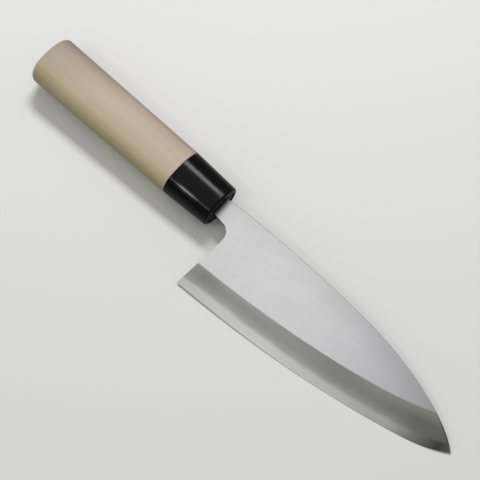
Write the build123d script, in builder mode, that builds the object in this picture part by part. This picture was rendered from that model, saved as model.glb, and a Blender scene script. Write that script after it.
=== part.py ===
from build123d import *
import os

# Right-handed deba: a laminated single-bevel blade whose tang sits in a magnolia handle
# with a black ferrule. Lengths are in millimetres. The knife lies on its back as on a
# table, z = 0 is the table, and +X runs along the handle's axis towards the tip.

# Blade outline, measured from the mouth of the handle and from the handle's axis
blade_reach = 173.0
heel_setback = 9.5
heel_depth = 44.8
tip_drop = 17.1
spine_rise = 7.0
neck_rise = 5.0
neck_depth = 4.7
neck_entry = 3.0
choil_reach = 13.0
choil_depth = 6.7
choil_radius = 6.3
heel_turn_depth = 23.0
heel_turn_radius = 60.0

# Blade thickness and grinds
spine_thickness = 6.1
tip_thickness = 1.5
hira_fall = 0.9
spine_ease = 0.12
bevel_width = 14.7
edge_bevel_width = 0.5
edge_bevel_height = 0.22
steel_share = 0.29
weld_end = 9.0
hollow_radius = 500.0
hollow_depth = 0.55
hollow_rim = 3.0
hollow_end = 160.0
hollow_runout = 80.0

# Tang
tang_length = 92.0
tang_width = 8.0
tang_thickness = 5.0
tang_end_width = 4.0
tang_end_thickness = 2.6
tang_overlap = 1.0

# Handle and ferrule
handle_length = 127.5
ferrule_length = 29.0
mouth_width = 25.0
mouth_thickness = 20.0
shoulder_width = 27.7
shoulder_thickness = 21.1
butt_width = 29.5
butt_thickness = 23.0
butt_round = 3.2
shoulder_round = 0.3
ridge_ease = 1.0
ferrule_wall = 1.8
ferrule_round = 1.2
tenon_recess = 0.5
glue_gap = 0.1
slot_gap = 1.0
tang_gap = 0.4
resin_recess = 1.3
resin_length = 26.0

# How far cutting bodies run past what they cut
overrun = 10.0

# Outlines as shares: along the edge and up from heel to tip, with the bevel's width there
edge_shares = (
    (-0.075, -0.014, 1.00),
    (0.0, 0.0, 1.00),
    (0.184, 0.047, 1.035),
    (0.422, 0.162, 1.10),
    (0.644, 0.361, 1.15),
    (0.818, 0.581, 1.245),
    (0.941, 0.809, 1.425),
    (1.0, 1.0, 1.51),
    (1.03, 1.12, 1.55),
)
belly_index = 4

# The spine as shares of the reach, and of the drop from its highest stretch to the tip
spine_shares = (
    (0.110, 0.017),
    (0.289, 0.0),
    (0.520, 0.0415),
    (0.681, 0.158),
    (0.823, 0.386),
    (0.909, 0.606),
    (0.975, 0.859),
    (1.0, 1.0),
    (1.02, 1.145),
)

# Handle section as shares of its half width and half thickness
ridge_shares = (-0.53, 0.93)
crown_shares = ((1.0, 0.62), (0.34, 1.09))
flank_shares = ((-0.79, 0.76), (-1.0, 0.46))

edge_span = blade_reach - heel_setback
edge_lift = heel_depth - tip_drop
spine_span = spine_rise + tip_drop
blade_mid = spine_thickness / 2


def edge_point(row):
    """Plan position of the cutting edge, for one row of edge_shares."""
    return Vector(heel_setback + row[0] * edge_span, row[1] * edge_lift - heel_depth)


def thickness_at(x):
    """Thickness on the spine, tapering from the mouth to the tip."""
    return spine_thickness + (tip_thickness - spine_thickness) * x / blade_reach


def hira_height(x, y):
    """Height of the flat upper face, which falls a little from the spine to the bevel."""
    return thickness_at(x) - hira_fall * (spine_rise - y) / heel_depth


def bevel_foot(row):
    """Where the wide bevel starts, above the edge's own narrow bevel."""
    return edge_point(row) + Vector(0, edge_bevel_width, edge_bevel_height)


def ridge_point(row):
    """Where the wide bevel meets the upper face, on the ridge line."""
    edge = edge_point(row)
    ridge_y = edge.Y + bevel_width * row[2]
    return Vector(edge.X, ridge_y, hira_height(edge.X, ridge_y))


# Handle section: a round back, and an upper side that runs from the crown to a soft ridge
# near the cutting side, eased by a small curve, then down a flatter flank


def half_sizes(x):
    """Half width and half thickness of the handle, from its butt to the ferrule's mouth."""
    if x < -ferrule_length:
        share = (x + handle_length) / (handle_length - ferrule_length)
        first, last = (butt_width, butt_thickness), (shoulder_width, shoulder_thickness)
    else:
        share = (x + ferrule_length) / ferrule_length
        first, last = (shoulder_width, shoulder_thickness), (mouth_width, mouth_thickness)
    return [(a + (b - a) * share) / 2 for a, b in zip(first, last)]


def handle_reach(x, way):
    """The point of the handle's oval at a place along it that lies furthest in one direction."""
    half_width, half_thick = half_sizes(x)
    size = ((half_width * way.Y) ** 2 + (half_thick * way.Z) ** 2) ** 0.5
    return Vector(x, half_width**2 * way.Y / size, blade_mid + half_thick**2 * way.Z / size)


# The table touches the belly of the edge and the underside of the ferrule's mouth, and the
# model's origin lies on it under the middle of the knife's length and breadth
belly = edge_point(edge_shares[belly_index])
belly_line = edge_point(edge_shares[belly_index + 1]) - edge_point(edge_shares[belly_index - 1])
upright = Vector(0, 0, 1)
for step in range(4):
    foot = handle_reach(-ferrule_round, -upright)
    upright = belly_line.cross(foot - belly).normalized()
forward = Vector(1, 0, 0) - upright * upright.X
table = Plane(origin=belly, x_dir=forward, z_dir=upright)
butt_side = table.to_local_coords(handle_reach(-handle_length, table.y_dir))
heel_side = table.to_local_coords(edge_point(edge_shares[1]))
tip_end = table.to_local_coords(edge_point(edge_shares[-2]))
middle = Vector((butt_side.X + tip_end.X) / 2, (butt_side.Y + heel_side.Y) / 2)
table = Plane(origin=table.from_local_coords(middle), x_dir=forward, z_dir=upright)

# Knife plane: the flat back of the blade, with local x along the handle's axis, local y
# towards the spine and local z out of the bevelled face
knife = Plane(table.location.inverse())


def station(x, height=blade_mid):
    """Plane across the handle, local x towards the spine, local y out of the bevelled face."""
    return Plane(origin=knife.from_local_coords(Vector(x, 0, height)), x_dir=knife.y_dir, z_dir=knife.x_dir)


def plan(points):
    """Points of an outline as plain pairs for a sketch."""
    return [(p.X, p.Y) for p in points]


# Blade blank: the full outline, run past the edge, as thick as the spine at the mouth
tool_height = spine_thickness + hira_fall
tip_side = blade_reach + overrun
edge_side = -heel_depth - overrun
with BuildPart() as blank:
    with BuildSketch(knife):
        with BuildLine() as outline:
            inner = (-neck_entry, neck_rise)
            spine_points = [(s * blade_reach, spine_rise - d * spine_span) for s, d in spine_shares]
            spine = Spline(inner, *spine_points)
            choil = (choil_reach, -choil_depth)
            heel_turn = (choil_reach, -heel_turn_depth)
            heel = Line(heel_turn, (heel_setback, -heel_depth))
            run = PolarLine(start=heel @ 1, length=overrun, direction=heel % 1)
            Polyline(spine @ 1, (tip_side, edge_side), (run @ 1) - (0, overrun), run @ 1)
            Polyline(heel_turn, choil, (-neck_entry, -neck_depth), inner)
        make_face()
        for corner, radius in ((choil, choil_radius), (heel_turn, heel_turn_radius)):
            fillet(vertices().sort_by_distance(Vector(*corner))[0], radius=radius)
    extrude(amount=tool_height)

# Upper face of the blade, the hira, as a plane through three of its corners
corners = ((0, spine_rise), (blade_reach, spine_rise), (0, -heel_depth))
neck_corner, tip_corner, heel_corner = [
    knife.from_local_coords(Vector(x, y, hira_height(x, y))) for x, y in corners]
hira_x = tip_corner - neck_corner
hira = Plane(origin=neck_corner, x_dir=hira_x, z_dir=hira_x.cross(neck_corner - heel_corner))

# Grinding form: a straight-ruled wedge whose foot is the cutting edge, with the edge's own
# narrow bevel, then the wide bevel, and whose top is the hira ending at the ridge line
far_side = 2 * blade_reach
back_side = heel_setback - 6 * overrun
forms = (
    (knife, [edge_point(row) for row in edge_shares]),
    (knife.offset(edge_bevel_height), [bevel_foot(row) for row in edge_shares]),
    (hira, [ridge_point(row) for row in edge_shares]),
)
with BuildPart() as wedge:
    for plane, line in forms:
        rim = [Vector(line[-1].X, far_side), Vector(back_side, far_side), Vector(back_side, line[0].Y)]
        placed = [plane.to_local_coords(knife.from_local_coords(p)) for p in line + rim]
        with BuildSketch(plane):
            with BuildLine():
                curve = Spline(*plan(placed[:len(line)]))
                Polyline(curve @ 1, *plan(placed[len(line):]), curve @ 0)
            make_face()
    loft(ruled=True)

# Blade: the blank inside the grinding form, with the edge between hira and spine eased
with BuildPart() as blade:
    add(blank.part)
    add(wedge.part, mode=Mode.INTERSECT)
    hira_face = blade.faces().sort_by(Axis(hira.origin, hira.z_dir))[-1]
    fillet(hira_face.edges().sort_by(Axis(knife.origin, knife.y_dir))[-1], radius=spine_ease)

# Weld between the hard steel back and the soft iron face, a fixed share of the thickness
weld_heel = Vector(0, 0, steel_share * thickness_at(0))
weld_tip = Vector(blade_reach, 0, steel_share * thickness_at(blade_reach))
weld_x = knife.from_local_coords(weld_tip) - knife.from_local_coords(weld_heel)
weld = Plane(origin=knife.from_local_coords(weld_heel), x_dir=weld_x, z_dir=weld_x.cross(knife.y_dir))

# Hard steel layer: it makes the edge, lies under the whole back and stops in the neck.
# Its back is ground hollow on a large wheel, so only a rim round it is flat
hollow_start = choil_reach + hollow_rim
hollow_tangent = hollow_start + (2 * hollow_runout * hollow_depth) ** 0.5
hollow_slope = hollow_depth / (hollow_end - hollow_tangent)
hollow_middle = (spine_rise - heel_depth) / 2
hollow_axis = knife.from_local_coords(Vector(1, 0, -hollow_slope)) - knife.origin
wheel_top = hollow_depth + hollow_slope * hollow_runout
wheel_centre = Vector(hollow_tangent - hollow_runout, hollow_middle, wheel_top - hollow_radius)
with BuildPart() as wheel:
    with BuildSketch(Plane(origin=knife.from_local_coords(wheel_centre), x_dir=knife.y_dir, z_dir=hollow_axis)):
        Circle(hollow_radius)
    extrude(amount=blade_reach + hollow_runout)
    fillet(wheel.edges().group_by(Axis(knife.origin, knife.x_dir))[0], radius=hollow_runout)

with BuildPart() as steel_blank:
    add(blade.part)
    split(bisect_by=weld, keep=Keep.BOTTOM)
    split(bisect_by=station(weld_end), keep=Keep.TOP)

with BuildPart() as hard_steel:
    add(steel_blank.part)
    add(wheel.part, mode=Mode.SUBTRACT)
hard_steel.part.label = "blade_hard_steel"

# Soft iron body: the rest of the blade with its neck, drawn out behind into the tang
tang_start = tang_overlap - neck_entry
tang_side = (neck_rise - neck_depth) / 2


def tang_section(x, gap=0.0):
    """Rectangle across the tang at a place along the handle, larger all round by a gap."""
    share = -x / tang_length
    width = tang_width + (tang_end_width - tang_width) * share
    thick = tang_thickness + (tang_end_thickness - tang_thickness) * share
    with BuildSketch(station(x)) as section:
        with Locations((tang_side, 0)):
            Rectangle(width + 2 * gap, thick + 2 * gap)
    return section.sketch


with BuildPart() as soft_iron:
    add(blade.part)
    add(steel_blank.part, mode=Mode.SUBTRACT)
    loft([tang_section(-tang_length), tang_section(tang_start)], ruled=True)
soft_iron.part.label = "blade_soft_iron"


def handle_section(x, inset=0.0):
    """D-shaped section across the handle, smaller all round by an inset."""
    half_width, half_thick = [half - inset for half in half_sizes(x)]

    def at(share):
        return Vector(share[0] * half_width, share[1] * half_thick)

    with BuildSketch(station(x)) as section:
        with BuildLine():
            back = EllipticalCenterArc((0, 0), half_width, half_thick, start_angle=180, arc_size=180)
            crown = [at(s) for s in crown_shares]
            flank = [at(s) for s in flank_shares]
            ridge = at(ridge_shares)
            before = ridge + (crown[-1] - ridge).normalized() * ridge_ease
            after = ridge + (flank[0] - ridge).normalized() * ridge_ease
            Bezier(back @ 1, *crown, before)
            Bezier(before, ridge, after)
            Bezier(after, *flank, back @ 0)
        make_face()
    return section.sketch


# Ferrule: a black sleeve open at both ends, its mouth rounded over and its back edge eased
with BuildPart() as ferrule:
    loft([handle_section(-ferrule_length), handle_section(0)])
    ends = ferrule.edges().group_by(Axis(knife.origin, knife.x_dir))
    fillet(ends[-1], radius=ferrule_round)
    fillet(ends[0], radius=shoulder_round)
    bore = [handle_section(x, inset=ferrule_wall) for x in (-ferrule_length, 0)]
    loft(bore, mode=Mode.SUBTRACT)
ferrule.part.label = "ferrule"

# Tang hole: a slot that takes the neck, then a taper burnt to the tang's shape
slot_plan = (neck_rise + neck_depth + 2 * slot_gap, spine_thickness + 2 * slot_gap)
with BuildPart() as tang_hole:
    with BuildSketch(station(-neck_entry - slot_gap)):
        with Locations((tang_side, 0)):
            Rectangle(*slot_plan)
    extrude(amount=neck_entry + 2 * slot_gap)
    loft([tang_section(-tang_length - tang_gap, tang_gap), tang_section(-neck_entry, tang_gap)], ruled=True)

# Handle: one piece of magnolia, rounded at the butt, eased at the shoulder, cut down in
# front to a tenon that fills the ferrule, and bored from the mouth for the tang
with BuildPart() as handle:
    loft([handle_section(-handle_length), handle_section(-ferrule_length)])
    ends = handle.edges().group_by(Axis(knife.origin, knife.x_dir))
    fillet(ends[0], radius=butt_round)
    fillet(ends[-1], radius=shoulder_round)
    loft([handle_section(x, inset=ferrule_wall + glue_gap) for x in (-ferrule_length, -tenon_recess)])
    add(tang_hole.part, mode=Mode.SUBTRACT)
handle.part.label = "handle"

# Resin: a dark plug run in round the tang, set back a little behind the handle's mouth
with BuildPart() as resin:
    add(tang_hole.part)
    split(bisect_by=station(-resin_recess), keep=Keep.BOTTOM)
    split(bisect_by=station(-resin_length), keep=Keep.TOP)
    add(soft_iron.part, mode=Mode.SUBTRACT)
resin.part.label = "tang_resin"

os.makedirs("parts", exist_ok=True)
for piece in (hard_steel, soft_iron, ferrule, handle, resin):
    export_step(piece.part, f"parts/{piece.part.label}.step")
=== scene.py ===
import bpy
import math
from mathutils import Matrix, Vector

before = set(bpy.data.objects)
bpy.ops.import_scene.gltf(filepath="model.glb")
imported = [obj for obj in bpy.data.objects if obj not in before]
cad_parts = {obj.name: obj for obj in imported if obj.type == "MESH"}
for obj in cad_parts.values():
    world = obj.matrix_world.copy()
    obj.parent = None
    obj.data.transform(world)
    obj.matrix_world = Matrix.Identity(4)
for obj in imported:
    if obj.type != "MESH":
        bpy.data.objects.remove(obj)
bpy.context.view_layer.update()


# Camera
# The knife is seen from the cutting side, 69 degrees above the table, from 0.82 m away
# through a lens of 116 mm on a square 36 mm frame.
target = Vector((-0.0055015, 0.0108015, 0.0))
distance = 0.817738
lift = math.radians(69.2761)
turn = math.radians(-47.1936)
roll = math.radians(-0.1045)
back = Vector((math.cos(lift) * math.cos(turn), math.cos(lift) * math.sin(turn), math.sin(lift)))
level_right = Vector((0, 0, 1)).cross(back).normalized()
level_up = back.cross(level_right)
right = math.cos(roll) * level_right + math.sin(roll) * level_up
up = math.cos(roll) * level_up - math.sin(roll) * level_right
bpy.ops.object.camera_add()
camera = bpy.context.object
camera.data.sensor_width = 36.0
camera.data.lens = 116.0089
camera.data.clip_start = 0.01
camera.matrix_world = Matrix.Translation(target + distance * back) @ Matrix(
    (right, up, back)).transposed().to_4x4()
bpy.context.scene.camera = camera


# Table
# A plain pale table top with a dull finish, which the belly of the edge and the underside of
# the ferrule's mouth touch. It belongs to the setting and not to the knife.
table_tone = "DDDDDB"
grit_size = 0.002


def linear(code):
    """A colour from its sRGB hex code, as the linear values that the shaders take."""
    parts = [int(code[i:i + 2], 16) / 255 for i in (0, 2, 4)]
    return tuple(p / 12.92 if p <= 0.04045 else ((p + 0.055) / 1.055) ** 2.4 for p in parts) + (1.0,)


def add(material, kind, inputs, stops=(), points=(), **settings):
    """Adds one node with its settings. An input is a value, or the node or output to link to it.
    Stops are a ramp's places and colours, and points are a curve's places and values."""
    node = material.node_tree.nodes.new(kind)
    for name, value in settings.items():
        setattr(node, name, value)
    for name, value in inputs.items():
        if isinstance(value, bpy.types.Node):
            value = next(output for output in value.outputs if output.enabled)
        if isinstance(value, bpy.types.NodeSocket):
            material.node_tree.links.new(value, node.inputs[name])
        else:
            node.inputs[name].default_value = value
    for position, colour in stops[2:]:
        node.color_ramp.elements.new(position)
    if stops:
        for element, (position, colour) in zip(node.color_ramp.elements, stops):
            element.position = position
            element.color = colour
    for place in points[2:]:
        node.mapping.curves[0].points.new(*place)
    if points:
        for point, place in zip(node.mapping.curves[0].points, points):
            point.location = place
        node.mapping.update()
    return node


def new_material(name):
    """An empty node material."""
    material = bpy.data.materials.new(name)
    material.use_nodes = True
    material.node_tree.nodes.clear()
    return material


# Matt laminate with a faint grain of about 2 mm, so that the light stays soft on it.
matt = new_material("matt_table_laminate")
spot = add(matt, "ShaderNodeTexCoord", {})
grit = add(matt, "ShaderNodeTexNoise", {
    "Vector": spot.outputs["Object"], "Scale": 1 / grit_size, "Detail": 3.0})
bump = add(matt, "ShaderNodeBump", {"Strength": 0.05, "Distance": 0.0004, "Height": grit})
shader = add(matt, "ShaderNodeBsdfPrincipled", {
    "Base Color": linear(table_tone), "Roughness": 0.75, "Normal": bump})
add(matt, "ShaderNodeOutputMaterial", {"Surface": shader})
bpy.ops.object.select_all(action="DESELECT")
bpy.ops.mesh.primitive_plane_add(size=12.0, location=(0, 0, 0))
table = bpy.context.object
table.name = "table_top"
table.data.materials.append(matt)


# Studio light
# A soft box behind the spine and towards the butt gives the ferrule its long highlight. A wide
# faint one overhead lies in the upper face of the blade, and a small one on the cutting side
# draws the line on the ferrule's ridge. The room round them is an even grey.
room_strength = 0.40
box_distance = 1.1
# Each box has a name, the way to it from the knife, its two sides in metres and its watts.
boxes = (
    ("key_box", (-0.36, 0.51, 0.78), (0.50, 0.20), 7.0),
    ("top_box", (-0.18, 0.02, 0.98), (0.44, 0.80), 0.95),
    ("front_box", (-0.26, -0.50, 0.82), (0.36, 0.12), 1.0),
)

bpy.context.scene.view_settings.view_transform = "Standard"
room = bpy.data.worlds.new("grey_room")
room.use_nodes = True
room.node_tree.nodes["Background"].inputs["Color"].default_value = (1.0, 1.0, 1.0, 1.0)
room.node_tree.nodes["Background"].inputs["Strength"].default_value = room_strength
bpy.context.scene.world = room
for name, way, sides, power in boxes:
    aim = Vector(way).normalized()
    level = Vector((1, 0, 0)) - aim * aim.x
    bpy.ops.object.light_add(type="AREA")
    lamp = bpy.context.object
    lamp.name = name
    lamp.matrix_world = Matrix.Translation(aim * box_distance) @ Matrix(
        (level.normalized(), aim.cross(level).normalized(), aim)).transposed().to_4x4()
    lamp.data.shape = "RECTANGLE"
    lamp.data.size, lamp.data.size_y = sides
    lamp.data.energy = power


# Blade, the soft iron body
# Soft iron forge-welded on the hard steel, ground to a flat upper face and one wide bevel,
# with the edge along the spine eased. The tang end runs into the handle.

# Middle of the handle's mouth in metres, and how the knife lies rolled and nose down.
mouth = (-0.0227622, 0.0150610, 0.0070140)
lie = (math.radians(7.27827), math.radians(1.30097), 0.0)
# In the knife's own axes in mm: the plane of the upper face, the edge and the spine.
face_tilt = (-0.02659, 0.020089, -1.0)
face_height = 5.9594
edge_line = (
    (9.5, -44.8), (39.6, -43.5), (78.5, -40.3), (114.8, -34.8), (143.2, -28.7), (163.4, -22.4),
    (173.0, -17.1))
spine_line = (
    (3.0, 5.52), (10.0, 6.03), (20.0, 6.55), (33.5, 6.89), (53.0, 6.91), (76.4, 6.52), (97.0, 5.45),
    (118.0, 3.08), (132.3, 0.30), (148.6, -4.36), (173.0, -17.1))
# What the 0 to 1 of a ramp or curve stand for, in mm along the knife and across the bevel.
ramp_reach = 200
ramp_width = 20
# Tones of the face, of the bright strip and of the haze, at their places along the knife.
# Their darkening towards the tip, strongest on the strip, is painted shade. The face's first
# few mm at the mouth are painted dark, a painted shadow and reflection of the ferrule's mouth.
face_tones = (
    (0.1, "3A3A3A"), (1.0, "5E5E5E"), (2.0, "7E7E7E"), (3.0, "A4A4A4"), (4.0, "BBBBBB"), (6.0, "C4C4C4"),
    (12.0, "CACACA"), (55.0, "D1D1D1"), (80.0, "D5D5D6"), (105.0, "D4D4D6"), (125.0, "CFCFD1"),
    (140.0, "C9C9CC"), (150.0, "C5C5C8"))
strip_tones = (
    (13.0, "C9C9C4"), (35.0, "CCCDC7"), (70.0, "D0D1CB"), (105.0, "C6C7C1"), (125.0, "BABBB5"),
    (140.0, "B2B3AB"), (150.0, "8E8F87"), (158.0, "6E6F69"), (166.0, "464743"), (172.0, "6A645D"))
haze_tones = (
    (11.0, "9E9E9D"), (14.0, "9D9D9C"), (18.0, "939392"), (20.0, "949493"), (35.0, "A0A09E"),
    (80.0, "A0A09C"), (105.0, "92938E"), (125.0, "91918A"), (140.0, "84857D"), (150.0, "75766D"),
    (166.0, "74746D"))
# Share of haze at a distance from the edge.
haze_shares = (
    (4.0, 0.0), (5.0, 0.14), (6.4, 0.68), (8.0, 0.84), (10.0, 1.0))
stroke_tone = "60615C"
ridge_haze_tone = "A6A79F"
honed_glint_tone = "E9E9E5"
dull_and_shaded_face_tone = "808082"
eased_edge_tone = "A6A6A8"
spine_tone = "777778"
# Sizes of the patterns in mm, along, across and through the knife.
weld_waves = (9.0, 9.0, 9.0)
weld_wander = 0.8
stone_strokes = (0.8, 7.0, 4.0)
wheel_lines = (16.0, 0.7, 3.0)
wheel_slant = math.radians(-20)
face_clouds = (9.0, 26.0, 9.0)
# How much the strokes, the satin lines and the clouds dull the iron, and where the face starts.
stroke_shade = 0.12
satin_shade = 0.24
cloud_shade = 0.10
shade_start = -0.07
# Roughness of the face, and what the satin lines, the bevel and the eased edge add to it.
face_roughness = 0.30
satin_roughness = 0.10
bevel_roughness = 0.16
eased_roughness = 0.40


def place_on_knife(material):
    """Place in the knife's own axes in mm: x to the tip, y to the spine, z out of the bevel."""
    coordinates = add(material, "ShaderNodeTexCoord", {})
    return add(material, "ShaderNodeMapping", {
        "Vector": coordinates.outputs["Object"], "Location": mouth, "Rotation": lie,
        "Scale": (0.001, 0.001, 0.001)}, vector_type="TEXTURE")


def past_line(material, x, y, line):
    """Distance in mm from a line along the blade, greater towards the spine."""
    # Upwards the curve's 0 to 1 stand for 80 mm across the knife, from 60 mm to the cutting side.
    depth = 60
    height = 80
    along = add(material, "ShaderNodeMath", {0: x, 1: ramp_reach}, operation="DIVIDE")
    drawn = add(material, "ShaderNodeFloatCurve", {"Value": along}, points=[
        (line_x / ramp_reach, (line_y + depth) / height) for line_x, line_y in line])
    line_at = add(material, "ShaderNodeMath", {0: drawn, 1: height, 2: -depth}, operation="MULTIPLY_ADD")
    return add(material, "ShaderNodeMath", {0: y, 1: line_at}, operation="SUBTRACT")


def patches(material, place, size, detail=3.0):
    """Uneven lines or patches of a size in mm along, across and through the knife."""
    scaled = add(material, "ShaderNodeVectorMath", {
        0: place, 1: [1 / side for side in size]}, operation="MULTIPLY")
    return add(material, "ShaderNodeTexNoise", {"Vector": scaled, "Scale": 1.0, "Detail": detail})


def tones_along(material, x, tones):
    """A colour that changes from the heel to the tip, through tones at places in mm."""
    along = add(material, "ShaderNodeMath", {0: x, 1: ramp_reach}, operation="DIVIDE")
    return add(material, "ShaderNodeValToRGB", {"Fac": along}, stops=[
        (at / ramp_reach, linear(code)) for at, code in tones])


def stoned_bevel(material, place, x, across):
    """Colour of the bevel: bright hard steel at the edge, then hazy iron up to the ridge. The
    weld between them wavers, and nears the edge at the heel and from mid blade on."""
    waver = add(material, "ShaderNodeMath", {
        0: patches(material, place, weld_waves, detail=2.0), 1: 2 * weld_wander, 2: -weld_wander},
        operation="MULTIPLY_ADD")
    heel = add(material, "ShaderNodeMapRange", {
        "Value": x, "From Min": 13.0, "From Max": 21.0, "To Min": 1.3, "To Max": 0.0})
    belly = add(material, "ShaderNodeMapRange", {
        "Value": x, "From Min": 85.0, "From Max": 102.0, "To Min": 0.0, "To Max": 0.5})
    past_weld = across
    for shift in (waver, heel, belly):
        past_weld = add(material, "ShaderNodeMath", {0: past_weld, 1: shift}, operation="ADD")
    share = add(material, "ShaderNodeMath", {0: past_weld, 1: ramp_width}, operation="DIVIDE")
    haze = add(material, "ShaderNodeValToRGB", {"Fac": share}, stops=[
        (at / ramp_width, (level, level, level, 1.0)) for at, level in haze_shares])
    # Near the heel the haze thins again towards the ridge.
    near_ridge = add(material, "ShaderNodeMapRange", {
        "Value": across, "From Min": 12.4, "From Max": 14.8, "To Min": 0.0, "To Max": 0.22})
    near_heel = add(material, "ShaderNodeMapRange", {"Value": x, "From Min": 80.0, "From Max": 45.0})
    thinned = add(material, "ShaderNodeMath", {0: near_ridge, 1: near_heel}, operation="MULTIPLY")
    haze = add(material, "ShaderNodeMath", {0: haze, 1: thinned}, operation="SUBTRACT")
    # Stone strokes of about 0.1 mm, drawn 0.8 mm wide so that they show as a faint mist.
    strokes = add(material, "ShaderNodeMath", {
        0: patches(material, place, stone_strokes), 1: stroke_shade}, operation="MULTIPLY")
    hazy = add(material, "ShaderNodeMix", {
        0: strokes, 6: tones_along(material, x, haze_tones), 7: linear(stroke_tone)}, data_type="RGBA")
    # Towards the tip the haze is lighter near the ridge.
    up_bevel = add(material, "ShaderNodeMapRange", {
        "Value": across, "From Min": 12.2, "From Max": 17.0, "To Min": 0.0, "To Max": 0.45})
    near_tip = add(material, "ShaderNodeMapRange", {"Value": x, "From Min": 100.0, "From Max": 125.0})
    lighter = add(material, "ShaderNodeMath", {0: up_bevel, 1: near_tip}, operation="MULTIPLY")
    hazy = add(material, "ShaderNodeMix", {
        0: lighter, 6: hazy, 7: linear(ridge_haze_tone)}, data_type="RGBA")
    # The last millimetre is painted brighter, a painted glint along the honed edge, up to where the belly
    # starts to rise to the tip.
    last = add(material, "ShaderNodeMapRange", {
        "Value": across, "From Min": 1.2, "From Max": 0.0, "To Min": 0.0, "To Max": 0.6})
    straight = add(material, "ShaderNodeMapRange", {"Value": x, "From Min": 150.0, "From Max": 104.5})
    honed_glint = add(material, "ShaderNodeMath", {0: last, 1: straight}, operation="MULTIPLY")
    # The strip tones, and the haze tones above, darken towards the tip as painted shade.
    strip = add(material, "ShaderNodeMix", {
        0: honed_glint, 6: tones_along(material, x, strip_tones), 7: linear(honed_glint_tone)}, data_type="RGBA")
    return add(material, "ShaderNodeMix", {0: haze, 6: strip, 7: hazy}, data_type="RGBA")


# Satin ground iron, whose slanting wheel lines stretch what it mirrors. The real lines are
# finer than 0.1 mm and are drawn 0.7 mm wide. The bevel is duller, from the stones, and the eased
# edge along the spine is dullest. The face is painted dark where it leaves the handle, a painted
# shadow and reflection of the ferrule's mouth.
iron = new_material("soft_iron_satin_and_stoned")
place = place_on_knife(iron)
split = add(iron, "ShaderNodeSeparateXYZ", {"Vector": place})
x = split.outputs["X"]
y = split.outputs["Y"]
across = past_line(iron, x, y, edge_line)
level = add(iron, "ShaderNodeVectorMath", {0: place, 1: face_tilt}, operation="DOT_PRODUCT")
below_face = add(iron, "ShaderNodeMapRange", {
    "Value": level, "From Min": -face_height, "From Max": 0.0625 - face_height})
slant = add(iron, "ShaderNodeVectorRotate", {
    "Vector": place, "Angle": wheel_slant}, rotation_type="Z_AXIS")
satin = patches(iron, slant, wheel_lines)
cloud = patches(iron, place, face_clouds, detail=1.0)
shade = add(iron, "ShaderNodeMath", {
    0: cloud, 1: cloud_shade, 2: shade_start}, operation="MULTIPLY_ADD")
shade = add(iron, "ShaderNodeMath", {0: satin, 1: satin_shade, 2: shade}, operation="MULTIPLY_ADD")
# Painted shade makes the face a little darker towards the spine, mostly in its front half.
past_spine = past_line(iron, x, y, spine_line)
spine_shade = add(iron, "ShaderNodeMapRange", {"Value": past_spine, "From Min": -13.0, "From Max": -1.5})
forward = add(iron, "ShaderNodeMapRange", {
    "Value": x, "From Min": 40.0, "From Max": 90.0, "To Min": 0.09, "To Max": 0.21})
shade = add(iron, "ShaderNodeMath", {0: spine_shade, 1: forward, 2: shade}, operation="MULTIPLY_ADD")
# The face tones are painted dark at the mouth and darker towards the tip, as painted shade.
face = add(iron, "ShaderNodeMix", {
    0: shade, 6: tones_along(iron, x, face_tones), 7: linear(dull_and_shaded_face_tone)}, data_type="RGBA")
eased = add(iron, "ShaderNodeMapRange", {
    "Value": past_spine, "From Min": -0.30, "From Max": -0.13})
face = add(iron, "ShaderNodeMix", {0: eased, 6: face, 7: linear(eased_edge_tone)}, data_type="RGBA")
spine = add(iron, "ShaderNodeMapRange", {"Value": across, "From Min": 21.0, "From Max": 23.0})
sides = add(iron, "ShaderNodeMix", {
    0: spine, 6: stoned_bevel(iron, place, x, across), 7: linear(spine_tone)}, data_type="RGBA")
colour = add(iron, "ShaderNodeMix", {0: below_face, 6: face, 7: sides}, data_type="RGBA")
rough = add(iron, "ShaderNodeMath", {
    0: satin, 1: satin_roughness, 2: face_roughness}, operation="MULTIPLY_ADD")
rough = add(iron, "ShaderNodeMath", {
    0: below_face, 1: bevel_roughness, 2: rough}, operation="MULTIPLY_ADD")
rough = add(iron, "ShaderNodeMath", {0: eased, 1: eased_roughness, 2: rough}, operation="MULTIPLY_ADD")
bump = add(iron, "ShaderNodeBump", {"Strength": 0.12, "Distance": 0.00008, "Height": satin})
shader = add(iron, "ShaderNodeBsdfPrincipled", {
    "Base Color": colour, "Metallic": 1.0, "Roughness": rough, "Normal": bump})
add(iron, "ShaderNodeOutputMaterial", {"Surface": shader})
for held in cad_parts["blade_soft_iron"].material_slots:
    held.material = iron


# Blade, the hard steel layer
# High-carbon steel that makes the edge and the whole back, forge-welded under the iron. Its
# back is ground hollow inside a narrow flat rim.
rim_tone = "C9C9C8"
hollow_tones = ((0.30, "A9A9AA"), (0.70, "C4C4C5"))
hollow_lines = (16.0, 0.5, 3.0)
# A surface between the back and the bevel: its height in mm over the back at the edge, its rise
# per mm from there, and how that rise changes per mm along the knife.
limit_height = 0.06
limit_rise = 0.175
limit_rise_change = -0.0009
# Roughness of the stoned strip, and what the polished back and its hollow add to it.
strip_roughness = 0.48
back_roughness = -0.15
hollow_roughness = 0.08

# Polished steel, bright on the rim of the back and on the strip along the edge. The hollow
# keeps its wheel lines, which are drawn 0.5 mm wide and are finer on the real blade.
steel = new_material("hard_steel_polished")
place = place_on_knife(steel)
split = add(steel, "ShaderNodeSeparateXYZ", {"Vector": place})
x = split.outputs["X"]
y = split.outputs["Y"]
z = split.outputs["Z"]
across = past_line(steel, x, y, edge_line)
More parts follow.
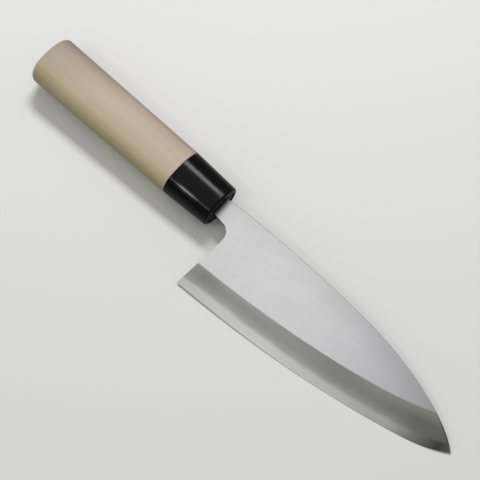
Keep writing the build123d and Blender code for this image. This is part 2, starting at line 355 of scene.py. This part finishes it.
# What lies below the limiting surface is the back, and its hollow lies above its rim.
rise = add(steel, "ShaderNodeMath", {
    0: x, 1: limit_rise_change, 2: limit_rise}, operation="MULTIPLY_ADD")
limit = add(steel, "ShaderNodeMath", {0: across, 1: rise, 2: limit_height}, operation="MULTIPLY_ADD")
below = add(steel, "ShaderNodeMath", {0: limit, 1: z}, operation="SUBTRACT")
on_back = add(steel, "ShaderNodeMapRange", {"Value": below, "From Min": 0.0, "From Max": 0.05})
sunk = add(steel, "ShaderNodeMapRange", {"Value": z, "From Min": 0.0, "From Max": 0.017})
hollow = add(steel, "ShaderNodeMath", {0: on_back, 1: sunk}, operation="MULTIPLY")
wheel = patches(steel, place, hollow_lines)
ground = add(steel, "ShaderNodeValToRGB", {"Fac": wheel}, stops=[
    (at, linear(code)) for at, code in hollow_tones])
colour = add(steel, "ShaderNodeMix", {
    0: on_back, 6: stoned_bevel(steel, place, x, across), 7: linear(rim_tone)}, data_type="RGBA")
colour = add(steel, "ShaderNodeMix", {0: hollow, 6: colour, 7: ground}, data_type="RGBA")
rough = add(steel, "ShaderNodeMath", {
    0: on_back, 1: back_roughness, 2: strip_roughness}, operation="MULTIPLY_ADD")
rough = add(steel, "ShaderNodeMath", {
    0: hollow, 1: hollow_roughness, 2: rough}, operation="MULTIPLY_ADD")
bump = add(steel, "ShaderNodeBump", {"Strength": 0.1, "Distance": 0.00006, "Height": wheel})
shader = add(steel, "ShaderNodeBsdfPrincipled", {
    "Base Color": colour, "Metallic": 1.0, "Roughness": rough, "Normal": bump})
add(steel, "ShaderNodeOutputMaterial", {"Surface": shader})
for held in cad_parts["blade_hard_steel"].material_slots:
    held.material = steel


# Handle
# Magnolia wood in a D section with a soft ridge, turned down to a tenon inside the ferrule
# and bored for the tang, which was burnt in.

# Tones from the cutting side to the spine side. The olive and the pink are the wood's own, and
# their darkening towards both sides is painted shade of the rounded handle.
wood_tones = (
    (0.03, "938B62"), (0.15, "C2B58F"), (0.29, "BEB096"), (0.42, "BEB09E"), (0.56, "BCAE9A"),
    (0.72, "B5A795"), (0.86, "AC9C8A"), (0.96, "8D7F73"))
# The breadth in mm that they spread over, their place at its middle, and how far they drift.
tones_breadth = 30
tones_middle = 0.46
tones_drift = 0.08
butt_tone = "5F574B"
grain_tone = "7D6C50"
char_and_shade_tone = "332F19"
# Sizes of the patterns in mm, along, across and through the knife.
wood_bands = (60.0, 2.4, 5.0)
wood_streaks = (24.0, 0.7, 0.7)
wood_pores = (4.0, 0.35, 0.35)
wood_drift = (70.0, 7.0, 7.0)
# How much the bands, the streaks and the pores darken the wood, and where they start.
band_shade = 0.20
streak_shade = 0.25
pore_shade = 0.10
grain_start = -0.16
# Middle of the tang hole, and how much nearer its roof and floor lie than its sides, in mm.
bore_middle = (0.0, 0.15, 3.05)
bore_flatness = 1.8

# Bare magnolia, sanded smooth: dull, warm beige on the spine side, greener towards the cutting
# side and greyer at the butt, and darker towards both sides as painted shade. Its pores are about
# 0.1 mm and are drawn 0.35 mm wide. The tang hole and the tenon's end are charred, and shine
# less. On the tenon's end the char is also painted shade from the ferrule's mouth.
magnolia = new_material("magnolia_wood_sanded")
place = place_on_knife(magnolia)
split = add(magnolia, "ShaderNodeSeparateXYZ", {"Vector": place})
x = split.outputs["X"]
y = split.outputs["Y"]
bands = patches(magnolia, place, wood_bands, detail=2.0)
streaks = patches(magnolia, place, wood_streaks, detail=2.0)
pores = patches(magnolia, place, wood_pores, detail=1.0)
drift = patches(magnolia, place, wood_drift, detail=1.0)
side = add(magnolia, "ShaderNodeMath", {
    0: drift, 1: tones_drift, 2: tones_middle}, operation="MULTIPLY_ADD")
side = add(magnolia, "ShaderNodeMath", {
    0: y, 1: 1 / tones_breadth, 2: side}, operation="MULTIPLY_ADD")
# Darker towards both sides: painted shade of the rounded handle, over the wood's own olive and pink.
colour = add(magnolia, "ShaderNodeValToRGB", {"Fac": side}, stops=[
    (at, linear(code)) for at, code in wood_tones])
# The wood greys towards the butt, more on the spine side.
to_butt = add(magnolia, "ShaderNodeMath", {0: x, 1: -0.025}, operation="MULTIPLY")
to_butt = add(magnolia, "ShaderNodeMath", {0: y, 1: 0.04, 2: to_butt}, operation="MULTIPLY_ADD")
butt = add(magnolia, "ShaderNodeMapRange", {
    "Value": to_butt, "From Min": 2.2, "From Max": 3.8, "To Min": 0.0, "To Max": 0.45})
colour = add(magnolia, "ShaderNodeMix", {0: butt, 6: colour, 7: linear(butt_tone)}, data_type="RGBA")
grain = add(magnolia, "ShaderNodeMath", {
    0: bands, 1: band_shade, 2: grain_start}, operation="MULTIPLY_ADD")
grain = add(magnolia, "ShaderNodeMath", {
    0: streaks, 1: streak_shade, 2: grain}, operation="MULTIPLY_ADD")
grain = add(magnolia, "ShaderNodeMath", {
    0: pores, 1: pore_shade, 2: grain}, operation="MULTIPLY_ADD", use_clamp=True)
colour = add(magnolia, "ShaderNodeMix", {0: grain, 6: colour, 7: linear(grain_tone)}, data_type="RGBA")
# The char lies in the tang hole, which ends near the butt, and over the tenon's end. On the
# tenon's end it is also painted shade from the ferrule's mouth, darkest towards the ferrule's rim.
offset = add(magnolia, "ShaderNodeVectorMath", {0: place, 1: bore_middle}, operation="SUBTRACT")
offset = add(magnolia, "ShaderNodeVectorMath", {0: offset}, operation="ABSOLUTE")
off_bore = add(magnolia, "ShaderNodeSeparateXYZ", {"Vector": offset})
upright = add(magnolia, "ShaderNodeMath", {0: off_bore.outputs["Z"], 1: bore_flatness}, operation="ADD")
near = add(magnolia, "ShaderNodeMath", {0: off_bore.outputs["Y"], 1: upright}, operation="MAXIMUM")
inside = add(magnolia, "ShaderNodeMapRange", {"Value": near, "From Min": 8.0, "From Max": 6.2})
bored = add(magnolia, "ShaderNodeMapRange", {"Value": x, "From Min": -98.0, "From Max": -97.0})
inside = add(magnolia, "ShaderNodeMath", {0: inside, 1: bored}, operation="MULTIPLY")
rim = add(magnolia, "ShaderNodeMapRange", {
    "Value": off_bore.outputs["Y"], "From Min": 3.0, "From Max": 8.0, "To Min": 0.86, "To Max": 1.0})
front = add(magnolia, "ShaderNodeMapRange", {
    "Value": x, "From Min": -2.0, "From Max": -1.5, "To Min": 0.0, "To Max": rim})
burnt_and_shaded = add(magnolia, "ShaderNodeMath", {0: inside, 1: front}, operation="MAXIMUM")
colour = add(magnolia, "ShaderNodeMix", {0: burnt_and_shaded, 6: colour, 7: linear(char_and_shade_tone)}, data_type="RGBA")
sheen = add(magnolia, "ShaderNodeMapRange", {"Value": burnt_and_shaded, "To Min": 0.5, "To Max": 0.1})
bump = add(magnolia, "ShaderNodeBump", {"Strength": 0.12, "Distance": 0.0001, "Height": pores})
shader = add(magnolia, "ShaderNodeBsdfPrincipled", {
    "Base Color": colour, "Roughness": 0.62, "Specular IOR Level": sheen, "Normal": bump})
add(magnolia, "ShaderNodeOutputMaterial", {"Surface": shader})
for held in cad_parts["handle"].material_slots:
    held.material = magnolia


# Ferrule
# A black sleeve of horn-like plastic, moulded to the handle's section, pressed on the tenon
# and polished with the wood.
plastic_tone = "060607"
buffing_streaks = (20.0, 0.6, 0.6)
# Roughness of the plastic, and what the streaks add to it.
plastic_roughness = 0.15
streak_roughness = 0.05
# How far the ridge lies to the cutting side at the mouth, in mm, and its drift along the knife.
ridge_side = 6.7
ridge_taper = -0.0253

# Polished black plastic with a soft shine and faint long streaks, left by the buffing wheel
# and drawn 0.6 mm wide. Wax rubbed up on the ridge shines most in the middle of its length.
gloss = new_material("black_plastic_polished")
place = place_on_knife(gloss)
split = add(gloss, "ShaderNodeSeparateXYZ", {"Vector": place})
x = split.outputs["X"]
y = split.outputs["Y"]
z = split.outputs["Z"]
streaks = patches(gloss, place, buffing_streaks, detail=2.0)
rough = add(gloss, "ShaderNodeMath", {
    0: streaks, 1: streak_roughness, 2: plastic_roughness}, operation="MULTIPLY_ADD")
at_mouth = add(gloss, "ShaderNodeMapRange", {
    "Value": x, "From Min": -6.0, "From Max": -1.0, "To Min": 0.0, "To Max": 0.08})
rough = add(gloss, "ShaderNodeMath", {0: rough, 1: at_mouth}, operation="ADD")
off_ridge = add(gloss, "ShaderNodeMath", {0: y, 1: ridge_side}, operation="ADD")
off_ridge = add(gloss, "ShaderNodeMath", {0: x, 1: ridge_taper, 2: off_ridge}, operation="MULTIPLY_ADD")
off_ridge = add(gloss, "ShaderNodeMath", {0: off_ridge}, operation="ABSOLUTE")
rubbed = add(gloss, "ShaderNodeMapRange", {"Value": off_ridge, "From Min": 1.6, "From Max": 0.6})
on_top = add(gloss, "ShaderNodeMapRange", {"Value": z, "From Min": 0.0, "From Max": 1.0})
mouth_end = add(gloss, "ShaderNodeMapRange", {
    "Value": x, "From Min": -8.5, "From Max": -15.0, "To Min": 0.1, "To Max": 1.0})
wood_end = add(gloss, "ShaderNodeMapRange", {
    "Value": x, "From Min": -25.0, "From Max": -20.0, "To Min": 0.1, "To Max": 1.0})
for limit in (on_top, mouth_end, wood_end):
    rubbed = add(gloss, "ShaderNodeMath", {0: rubbed, 1: limit}, operation="MULTIPLY")
bump = add(gloss, "ShaderNodeBump", {"Strength": 0.04, "Distance": 0.00005, "Height": streaks})
shader = add(gloss, "ShaderNodeBsdfPrincipled", {
    "Base Color": linear(plastic_tone), "Roughness": rough, "Specular IOR Level": 0.10, "Normal": bump,
    "Coat Weight": rubbed, "Coat Roughness": 0.18, "Coat IOR": 1.68})
add(gloss, "ShaderNodeOutputMaterial", {"Surface": shader})
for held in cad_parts["ferrule"].material_slots:
    held.material = gloss


# Tang resin
# Dark resin run in hot round the tang, which keeps the blade in the handle and water out of
# the hole.
resin_tones = ((0.3, "120D08"), (0.7, "241B10"))
resin_lumps = (1.2, 1.2, 1.2)

# Cast resin that has set dull and a little uneven, with lumps of about a millimetre.
resin = new_material("dark_resin_cast")
place = place_on_knife(resin)
lumps = patches(resin, place, resin_lumps)
colour = add(resin, "ShaderNodeValToRGB", {"Fac": lumps}, stops=[
    (at, linear(code)) for at, code in resin_tones])
bump = add(resin, "ShaderNodeBump", {"Strength": 0.3, "Distance": 0.0002, "Height": lumps})
shader = add(resin, "ShaderNodeBsdfPrincipled", {"Base Color": colour, "Roughness": 0.45, "Normal": bump})
add(resin, "ShaderNodeOutputMaterial", {"Surface": shader})
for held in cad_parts["tang_resin"].material_slots:
    held.material = resin
